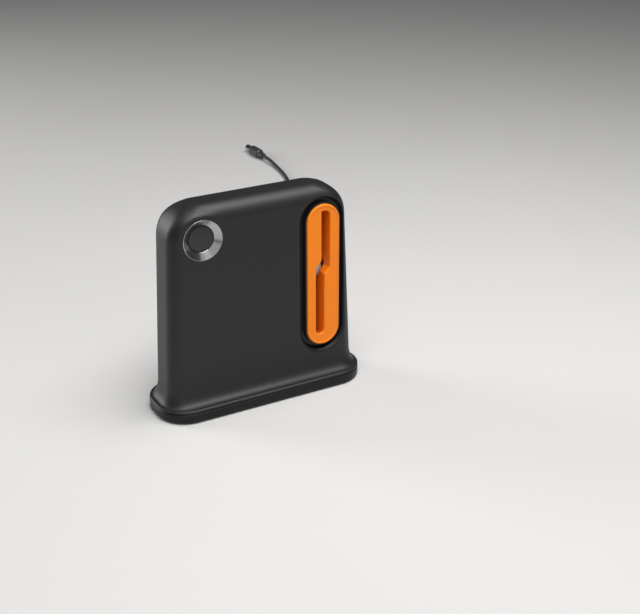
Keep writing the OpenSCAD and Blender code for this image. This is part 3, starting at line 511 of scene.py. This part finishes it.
moat_floor, lip_front = FRONT + MOAT_D, FRONT + LIP_IN
mouth = [(MOAT_W + out, y) for out, y in rolled(ROLL_R, steps=16)]
mouth += [(MOAT_W, moat_floor - MOAT_EDGE), (MOAT_W - MOAT_EDGE, moat_floor), (LIP_T, moat_floor),
          (LIP_T, lip_front + LIP_EDGE), (LIP_T - LIP_EDGE, lip_front), (0, lip_front), (0, COLLAR + PAST)]
mouth_loops = [long_round(HOLE_R + out, y) for out, y in mouth]
cut(housing, new_piece("mouth", *loft(mouth_loops)))
print("groove:", len(mouth_loops), "loops")

# %% [markdown]
# ## Bores and finish of the shell
# A stepped bore takes the ring and a plain one the lead. Every piece is then dressed in the same way: it
# gets its finish and smooth shading, and weighted normals keep the large flat faces flat where they meet
# a rounding. Last, the piece is hung on the body that it rides on, and the solids that it stands for are
# hidden.

# %% Bore and finish the shell
RING_PLAY, RING_SEAT, SLEEVE_R, SLEEVE_D = 0.12, 2.82, 8.9, 8
LEAD_BORE_R, LEAD_BORE_D = 3.55, 5


def hand_over(piece, nodes=(), body="body"):
    """Hangs the piece on its body and hides the solids that it stands for."""
    if nodes:
        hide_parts(*nodes)
    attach(piece, body)


def dress(piece, slot, nodes, angle=40, body="body"):
    """Gives a piece its finish, smooths it up to an angle and hands it over."""
    piece.data.materials.clear()
    piece.data.materials.append(FINISHES[slot])
    piece.data.shade_smooth()
    piece.data.set_sharp_from_angle(angle=math.radians(angle))
    piece.modifiers.new("even normals", "WEIGHTED_NORMAL").keep_sharp = True
    hand_over(piece, nodes, body)
    print(piece.name + ":", len(piece.data.polygons), "faces")


ring_hole = RING_R + RING_PLAY
ring_bore = [(ring_hole, -OVER), (ring_hole, RING_SEAT), (SLEEVE_R, RING_SEAT), (SLEEVE_R, SLEEVE_D)]
cut(housing, turned("ring bore", ring_bore, FRONT, BUTTON_X, BUTTON_Z))
lead_bore = [(LEAD_BORE_R, -LEAD_BORE_D), (LEAD_BORE_R, OVER)]
cut(housing, turned("lead bore", lead_bore, BACK, GLAND_X, GLAND_Z))
dress(housing, "black_shell", ["housing"], angle=34)

# %% [markdown]
# ## Base plate
# The base closes the shell from below. Its upper edge has a small chamfer, which catches the light as a
# thin line along the seam, and its lower edge is softened. It is a skin over rounded rectangles again,
# this time of one outline drawn in by small steps, followed by the tongue that reaches up into the shell.

# %% Base plate
FOOT_W, FOOT_D = 63.07, 21.1
TONGUE_W, TONGUE_D, TONGUE_R = 56.8, 12.8, 9
# Each step holds how far the outline is drawn in, and its height.
BASE_STEPS = [
    (14, 1.4), (3.5, 1.4), (3.5, 0.6), (1.0, 0.6), (0.5, 0.7), (0.15, 1.0), (0, 1.5), (0, 5.3), (0.1, 5.45),
    (0.75, 6.0), (0.9, 6.06)]
TONGUE_STEPS = [(0, 6.06), (0, 7.9), (0.1, 8.0), (1.8, 8.0), (1.8, 4.0), (7, 4.0)]


def plate_loops(half_w, half_d, r, steps):
    """One rounded outline, drawn in by each step at its height."""
    return [rectangle(half_w - d, half_d - d, r - d, z, corner=20, sides=(4, 2)) for d, z in steps]


base_loops = plate_loops(FOOT_W, FOOT_D, FOOT_R, BASE_STEPS)
base_loops += plate_loops(TONGUE_W, TONGUE_D, TONGUE_R, TONGUE_STEPS)
base = new_piece("base", *loft(base_loops))
dress(base, "black_base", ["base_plate"], angle=30)

# %% [markdown]
# ## Outline of the slot
# The slot in the guide steps aside in the middle, so that one wheel grinds each blade. Its outline is a
# polygon with a radius at each corner. A curve could draw it too, but the corners are easier to state as
# numbers.

# %% Outline of the slot
# Half width, sideways shift and half length, then the heights and radii of the step's corners.
SLOT_HALF, SLOT_SHIFT, SLOT_END = 2.6, 1.8, 36.8
STEP_LEFT, STEP_RIGHT, STEP_R, TIGHT_R = 5.8, 1.2, 1.2, 0.7


def rounded_polygon(corners, steps=10):
    """Outline with a radius at each (point, radius) corner."""
    outline = []
    for k, (corner, radius) in enumerate(corners):
        here = Vector(corner)
        before = (Vector(corners[k - 1][0]) - here).normalized()
        after = (Vector(corners[(k + 1) % len(corners)][0]) - here).normalized()
        half = before.angle(after) / 2
        middle = here + (before + after).normalized() * (radius / math.sin(half))
        first = here + before * (radius / math.tan(half)) - middle
        turn = math.pi - 2 * half
        if first.x * after.y - first.y * after.x < 0:
            turn = -turn
        for i in range(steps + 1):
            c, s = math.cos(turn * i / steps), math.sin(turn * i / steps)
            outline.append(middle + Vector((first.x * c - first.y * s, first.x * s + first.y * c)))
    return outline


low_left, low_right = -SLOT_SHIFT - SLOT_HALF, -SLOT_SHIFT + SLOT_HALF
high_left, high_right = SLOT_SHIFT - SLOT_HALF, SLOT_SHIFT + SLOT_HALF
slot_outline = rounded_polygon([
    ((low_left, -SLOT_END), SLOT_HALF), ((low_right, -SLOT_END), SLOT_HALF),
    ((low_right, STEP_RIGHT - SLOT_SHIFT), STEP_R), ((high_right, STEP_RIGHT + SLOT_SHIFT), STEP_R),
    ((high_right, SLOT_END), SLOT_HALF), ((high_left, SLOT_END), TIGHT_R),
    ((high_left, STEP_LEFT + SLOT_SHIFT), STEP_R), ((low_left, STEP_LEFT - SLOT_SHIFT), STEP_R)])
print("slot outline:", len(slot_outline), "points")

# %% [markdown]
# ## Orange blade guide
# The guide is a long round plug inside the lip, with a rounded rim raised along its edge. The slot's
# cutter rolls over the slot's edges in the same way as the groove's cutter does, only much finer. Behind
# the plug the slot's walls run on as a thin chute, cut away round the wheels, so that a look into the slot
# meets orange plastic. The slot's lower end slopes down behind its edge, so that it stays in the shade.

# %% Guide
# The slot's place and edge, the rim, the chute, and the space about the wheels' axis.
SLOT_RISE, SLOT_ROLL, SLOT_FALL = 1.2, 0.8, 0.48
RIM_R, RIM_H = 0.75, 0.4
CHUTE_T, CHUTE_FRONT, CHUTE_BACK = 1.2, FRONT + 5, FRONT + 9.6
AXIS_Y, AXIS_Z, SPACE_R, SPACE_FROM, SPACE_TO = 0.7, 68.5, 7.25, 20, 54
# Each step holds how far the outline is let out, and its depth: the plug with its flange, the rim's quarter
# round, and the fall to the face.
PLUG_STEPS = [(1.3, 6.3), (1.3, 4.9), (1.2, 4.8), (0, 4.8)]
RIM_STEPS = [(RIM_R * (math.cos(a) - 1), RIM_R * (1 - math.sin(a)) - RIM_H) for a in angles(15)]
FALL_STEPS = [(-1.0, -0.36), (-1.2, -0.25), (-1.36, -0.12), (-1.5, -0.04), (-1.75, 0)]


def spread(outline, out, y):
    """The outline moved outwards along its own normals, in the plane of the front face."""
    loop = []
    for k, point in enumerate(outline):
        along = (outline[(k + 1) % len(outline)] - outline[k - 1]).normalized()
        loop.append((GUIDE_X + point.x + out * along.y, y, GUIDE_Z + SLOT_RISE + point.y - out * along.x))
    return loop


def sink(loop):
    """Lowers the slot's lower end, the more the deeper it lies."""
    low = GUIDE_Z + SLOT_RISE - SLOT_END + SLOT_HALF + HAIR
    return [(x, y, z - SLOT_FALL * (y - FRONT - SLOT_ROLL) if z < low else z) for x, y, z in loop]


guide_loops = [long_round(GUIDE_R + out, FRONT + y) for out, y in PLUG_STEPS + RIM_STEPS + FALL_STEPS]
guide = new_piece("blade_guide_insert", *loft(guide_loops))
chute_loops = [sink(spread(slot_outline, CHUTE_T, y)) for y in (CHUTE_FRONT, CHUTE_BACK)]
chute = new_piece("chute", *loft(chute_loops))
space_loops = [
    [(x, AXIS_Y + SPACE_R * math.cos(a), AXIS_Z + SPACE_R * math.sin(a)) for a in full_turn(MEDIUM)]
    for x in (SPACE_FROM, SPACE_TO)]
cut(chute, new_piece("wheel space", *loft(space_loops)))
cut(guide, chute, "UNION")
slot_loops = [spread(slot_outline, out, y) for out, y in rolled(SLOT_ROLL, steps=8)]
slot_loops += [sink(spread(slot_outline, 0, CHUTE_BACK + PAST))]
cut(guide, new_piece("slot", *loft(slot_loops)))
dress(guide, "orange_plastic", ["blade_guide"], angle=34)

# %% [markdown]
# ## Polished ring
# The ring is a turned part: a profile of radii and depths swept about the button's axis. A Screw modifier
# could sweep it, and the same helper that made the bores does it here. The ring is a polished funnel that
# leads in to the button, so each side of it mirrors another part of the surroundings.

# %% Ring
RING_PROUD, FINE = 0.03, 144
RING_PROFILE = [
    (7.5, 7.5), (7.5, 2.65), (7.55, 2.6), (7.62, 2.548), (9.3, 1.294), (10.9, 0.1), (10.98, 0.04), (11.06, 0),
    (11.2, 0.02), (11.3, 0.12), (11.3, 2.75), (8.7, 2.75), (8.7, 7.5)]
ring = turned("button_ring", RING_PROFILE, FRONT - RING_PROUD, BUTTON_X, BUTTON_Z, FINE, ring=True)
dress(ring, "polished_metal", ["button_bezel"])

# %% [markdown]
# ## Push button
# The button is turned as well. Its cap is very slightly dished and sits deep in the ring, and a flange
# behind the ring keeps it from falling out. It rides on its own body, because it is the piece that a
# finger moves.

# %% Button
RECESS = 2.4
BUTTON_PROFILE = [
    (0.6, 0.14), (2.5, 0.12), (4.5, 0.07), (6.0, 0.01), (6.7, 0), (7.0, 0.04), (7.15, 0.16), (7.2, 0.34),
    (7.2, 2.4), (6.2, 2.5), (6.2, 5.3), (8.4, 5.3), (8.4, 6.3), (2.0, 6.3), (2.0, 7.2)]
button = turned("button_cap", BUTTON_PROFILE, FRONT + RECESS, BUTTON_X, BUTTON_Z, FINE)
dress(button, "button_black", ["power_button"], body="button")

# %% [markdown]
# ## Ribs by Geometry Nodes
# The strain relief and the plug's grip both carry rows of ribs. Ribs repeat along a line, so a node tree
# makes them: points along the axis, one ring at each, with a radius that runs from one end to the other.
# The same tree serves both pieces with other numbers.

# %% Tree for ribs
RIB_INPUTS = [
    ("Count", "NodeSocketInt"), ("Length", "NodeSocketFloat"), ("First radius", "NodeSocketFloat"),
    ("Last radius", "NodeSocketFloat"), ("Rib", "NodeSocketFloat"), ("Place", "NodeSocketVector"),
    ("Material", "NodeSocketMaterial")]


def rib_tree():
    """Rings along +Y from a place: sizes are inputs in metres."""
    tree = bpy.data.node_groups.new("ribs_along_y", "GeometryNodeTree")
    tree.interface.new_socket("Geometry", in_out="OUTPUT", socket_type="NodeSocketGeometry")
    for label, kind in RIB_INPUTS:
        tree.interface.new_socket(label, in_out="INPUT", socket_type=kind)
    given = tree.nodes.new("NodeGroupInput").outputs
    steps = math_node(tree, "SUBTRACT", given["Count"], 1.0)
    pitch = math_node(tree, "DIVIDE", given["Length"], steps)
    offset = add_node(tree, "ShaderNodeCombineXYZ", links={"Y": pitch})
    line = add_node(tree, "GeometryNodeMeshLine", links={
        "Count": given["Count"], "Start Location": given["Place"], "Offset": offset.outputs[0]})
    share = math_node(tree, "DIVIDE", add_node(tree, "GeometryNodeInputIndex").outputs[0], steps)
    radius = add_node(tree, "ShaderNodeMapRange", links={
        "Value": share, "To Min": given["First radius"], "To Max": given["Last radius"]})
    circle = add_node(tree, "GeometryNodeCurvePrimitiveCircle", links={"Resolution": 40, "Radius": 1.0})
    upright = add_node(tree, "GeometryNodeTransform", links={
        "Geometry": circle.outputs[0], "Rotation": (math.pi / 2, 0, 0)})
    rings = add_node(tree, "GeometryNodeInstanceOnPoints", links={
        "Points": line.outputs[0], "Instance": upright.outputs[0], "Scale": radius.outputs[0]})
    real = add_node(tree, "GeometryNodeRealizeInstances", links={"Geometry": rings.outputs[0]})
    profile = add_node(tree, "GeometryNodeCurvePrimitiveCircle", links={
        "Resolution": 10, "Radius": given["Rib"]})
    tubes = add_node(tree, "GeometryNodeCurveToMesh", links={
        "Curve": real.outputs[0], "Profile Curve": profile.outputs[0]})
    painted = add_node(tree, "GeometryNodeSetMaterial", links={
        "Geometry": tubes.outputs[0], "Material": given["Material"]})
    tree.links.new(painted.outputs[0], tree.nodes.new("NodeGroupOutput").inputs[0])
    return tree


RIBS = rib_tree()
print("rib tree:", len(RIBS.nodes), "nodes")

# %% [markdown]
# ## Strain relief
# A soft boot guides the lead out of the back wall. Its body is turned, with a groove that holds it in the
# bore, and its ribs come from the node tree. The tree's result is made a plain mesh, so that it can be
# handed over.

# %% Strain relief
COARSE = 64
RELIEF_PROFILE = [
    (1.7, -5.6), (4.6, -5.6), (4.6, -3.2), (3.5, -3.2), (3.5, 0.1), (4.5, 0.1), (4.7, 0.3), (4.7, 1.6),
    (4.5, 2.0), (3.3, 2.2), (2.45, 23.2), (2.3, 23.5), (1.7, 23.5)]
RELIEF_RIBS_Y = BACK + 4


def grow_ribs(name, slot, place, **sizes):
    """A plain mesh of ribs from a place along +Y, with sizes for the tree's other inputs."""
    piece = bpy.data.objects.new(name, bpy.data.meshes.new(name))
    scene.collection.objects.link(piece)
    maker = piece.modifiers.new("maker", "NODES")
    maker.node_group = RIBS
    sockets = {s.name: s.identifier for s in RIBS.interface.items_tree if s.in_out == "INPUT"}
    maker[sockets["Place"]] = [c * MM for c in place]
    maker[sockets["Material"]] = FINISHES[slot]
    for label, value in sizes.items():
        maker[sockets[label.replace("_", " ")]] = value
    apply_modifiers(piece)
    piece.data.name = name
    piece.data.shade_smooth()
    hand_over(piece)
    print(name + ":", len(piece.data.polygons), "faces")
    return piece


relief = turned("strain_relief_boot", RELIEF_PROFILE, BACK, GLAND_X, GLAND_Z, COARSE, ring=True)
dress(relief, "lead_sheath", ["strain_relief"])
relief_ribs = grow_ribs(
    "strain_relief_ribs", "lead_sheath", (GLAND_X, RELIEF_RIBS_Y, GLAND_Z), Count=9, Length=17.6 * MM,
    First_radius=3.45 * MM, Last_radius=2.6 * MM, Rib=0.62 * MM)

# %% [markdown]
# ## Supply plug
# The far end of the lead carries a barrel plug: a moulded grip with a few fine ribs, and a hollow metal
# contact. Both are turned about the lead's own direction, which runs along Y at that end.

# %% Plug
PLUG_X, PLUG_Y, PLUG_Z = 201.0, 384.0, 4.25
GRIP_PROFILE = [
    (1.6, 0), (2.4, 0), (2.55, 0.2), (2.7, 6.6), (3.4, 7.2), (4.0, 7.7), (4.25, 8.4), (4.25, 20.8),
    (4.1, 21.5), (3.6, 22), (1.0, 22)]
BARREL_PROFILE = [
    (1.05, 30.4), (1.05, 23), (2.0, 22.0), (2.75, 22.0), (2.75, 31.1), (2.65, 31.4), (2.4, 31.5), (1.3, 31.5),
    (1.1, 31.3)]
GRIP_RIBS_Y = PLUG_Y + 10.4

grip = turned("plug_moulding", GRIP_PROFILE, PLUG_Y, PLUG_X, PLUG_Z, COARSE)
dress(grip, "lead_sheath", ["plug_grip"])
grip_ribs = grow_ribs(
    "plug_ribs", "lead_sheath", (PLUG_X, GRIP_RIBS_Y, PLUG_Z), Count=6, Length=7.5 * MM,
    First_radius=3.95 * MM, Last_radius=3.95 * MM, Rib=0.3 * MM)
barrel = turned("plug_contact", BARREL_PROFILE, PLUG_Y, PLUG_X, PLUG_Z, COARSE, ring=True)
dress(barrel, "polished_metal", ["plug_barrel"])

# %% [markdown]
# ## Coil tie
# A soft band holds the coil together. It is a flat strap with rounded corners that goes round the turns
# once, so it is a skin over closed loops: outside and inside, with the edges of the strap slightly
# softened.

# %% Tie
# The band's inner reach from the coil's middle and its height, width, thickness and corner, then soft edges.
TIE_NEAR, TIE_FAR, TIE_HIGH, TIE_W, TIE_T, TIE_R = 5.63, 26.73, 9.0, 6.0, 1.2, 2.4
OUTER_SOFT, INNER_SOFT, EDGE_SOFT = 0.15, 0.1, 0.4


def strap_loop(inset, y):
    """Rounded outline of the band in the plane across the lead's turns."""
    near, far = TIE_NEAR - TIE_T + inset, TIE_FAR + TIE_T - inset
    low, high = inset, TIE_HIGH + TIE_T - inset
    corners = [(near, low), (far, low), (far, high), (near, high)]
    outline = rounded_polygon([(corner, TIE_R - inset) for corner in corners], steps=6)
    return [(COIL_X + p.x, y, p.y) for p in outline]


first, last = COIL_Y - TIE_W / 2, COIL_Y + TIE_W / 2
tie_loops = [
    strap_loop(OUTER_SOFT, first), strap_loop(0, first + EDGE_SOFT),
    strap_loop(0, last - EDGE_SOFT), strap_loop(OUTER_SOFT, last),
    strap_loop(TIE_T - INNER_SOFT, last), strap_loop(TIE_T, last - EDGE_SOFT),
    strap_loop(TIE_T, first + EDGE_SOFT), strap_loop(TIE_T - INNER_SOFT, first)]
tie = new_piece("coil_band", *loft(tie_loops, ring=True))
dress(tie, "pad_rubber", ["coil_tie"])

# %% [markdown]
# ## Inner wires
# Two wires run from the lead to the switch board and two more from the motor. They stay out of sight in
# the closed shell, but anyone who opens it should find soft round wires. One curve can hold several runs,
# each with its own colour, so a pair is one curve.

# %% Wires
# The wires' radius and colour, then where each pair runs and half the distance between its two wires.
WIRE_R = 0.7
RED_WIRE = finish("red_wire", (0.42, 0.02, 0.016), 0.42, grain=1500, bump=0.008)
SUPPLY_X, SUPPLY_Z, SUPPLY_HALF = -33.75, 26, 0.95
MOTOR_X, MOTOR_HALF, POLE_HALF = -27.75, 1.9, 5


def wire_pair(name, routes, node):
    """One curve with a red and a dark wire."""
    wires = new_cord(name, WIRE_R)
    for number, (sheath, places) in enumerate(zip((RED_WIRE, FINISHES["wire_sheath"]), routes)):
        wires.data.materials.append(sheath)
        add_run(wires, places, number)
    hand_over(wires, [node])
    print(name + ":", len(wires.data.splines), "wires")


supply, motor = [], []
for side in (1, -1):
    x, z = SUPPLY_X + SUPPLY_HALF * side, SUPPLY_Z + SUPPLY_HALF * side
    supply.append([
        (20, 6.5, z - 2), (20, 4.8, z - 2), (17, 5, z), (10, 5, z), (x + 18, 5, z), (x + 6, 5, z + 2.1),
        (x, 5, z + 10), (x, 5, 70), (x, 5, 82), (x, 6.8, 89), (x, 4.1, 89)])
    x, y = MOTOR_X + MOTOR_HALF * side, AXIS_Y + POLE_HALF * side
    motor.append([
        (-21.05, y, 56.42), (-22.75, y, 56.42), (-24.75, y, 59.42), (x, AXIS_Y + MOTOR_HALF * side, 70),
        (x, 8.8, 82), (x, 6.8, 94), (x, 4.1, 94)])
wire_pair("supply_wire_pair", supply, "supply_wires")
wire_pair("motor_wire_pair", motor, "motor_wires")

# %% [markdown]
# ## Handing over the lead
# The lead is one free cord, from the back wall to its plug. It gets its finish and is hung on the body,
# and the solids of its three stretches are hidden.

# %% Lead as a cord
lead.data.materials.append(FINISHES["lead_sheath"])
hand_over(lead, ["lead_from_housing", "lead_coil", "lead_to_plug"])
print("cord handed over:", lead.name)

# %% [markdown]
# ## Light and floor
# The setting is a pale plain floor under soft studio light. One lamp hangs overhead and draws the soft
# bands along the top edge and the foot. A second one stands behind on the left and lifts the narrow side,
# and a wide dim panel in front is what the metal ring mirrors. A dim world fills the shadows, so that the
# black plastic stays black.

# %% Floor and lamps
FLOOR_HALF, FLOOR_Z = 9000, -0.3
WORLD_COLOUR = (0.08, 0.08, 0.0815, 1)


def add_lamp(name, place, aim, size, power):
    """A soft rectangular lamp that looks at a point, with sizes in metres."""
    lamp = bpy.data.objects.new(name, bpy.data.lights.new(name, "AREA"))
    lamp.data.shape = "RECTANGLE"
    lamp.data.size, lamp.data.size_y = size
    lamp.data.energy = power
    lamp.location = place
    lamp.rotation_mode = "QUATERNION"
    lamp.rotation_quaternion = (Vector(aim) - Vector(place)).to_track_quat("-Z", "Y")
    scene.collection.objects.link(lamp)
    print("lamp:", name, power, "W")


floor_corners = [(x * FLOOR_HALF, y * FLOOR_HALF, FLOOR_Z) for x, y in ((-1, -1), (1, -1), (1, 1), (-1, 1))]
floor = new_piece("floor", floor_corners, [(0, 1, 2, 3)])
floor.data.materials.append(
    finish("pale_floor", (0.60, 0.592, 0.58), 0.7, grain=300, bump=0.02, uneven=0.06, patches=6))
add_lamp("overhead", place=(0.1, -0.20, 0.8), aim=(0.02, 0, 0.06), size=(0.8, 0.52), power=9.2)
add_lamp("side", place=(-0.75, 0.9, 0.4), aim=(0, 0, 0.06), size=(0.5, 0.7), power=8)
add_lamp("front", place=(-0.22, -1.25, 0.74), aim=(-0.02, 0, 0.1), size=(2.4, 1.5), power=6.0)
world = bpy.data.worlds.new("studio")
world.use_nodes = True
world.node_tree.nodes["Background"].inputs["Color"].default_value = WORLD_COLOUR
scene.world = world
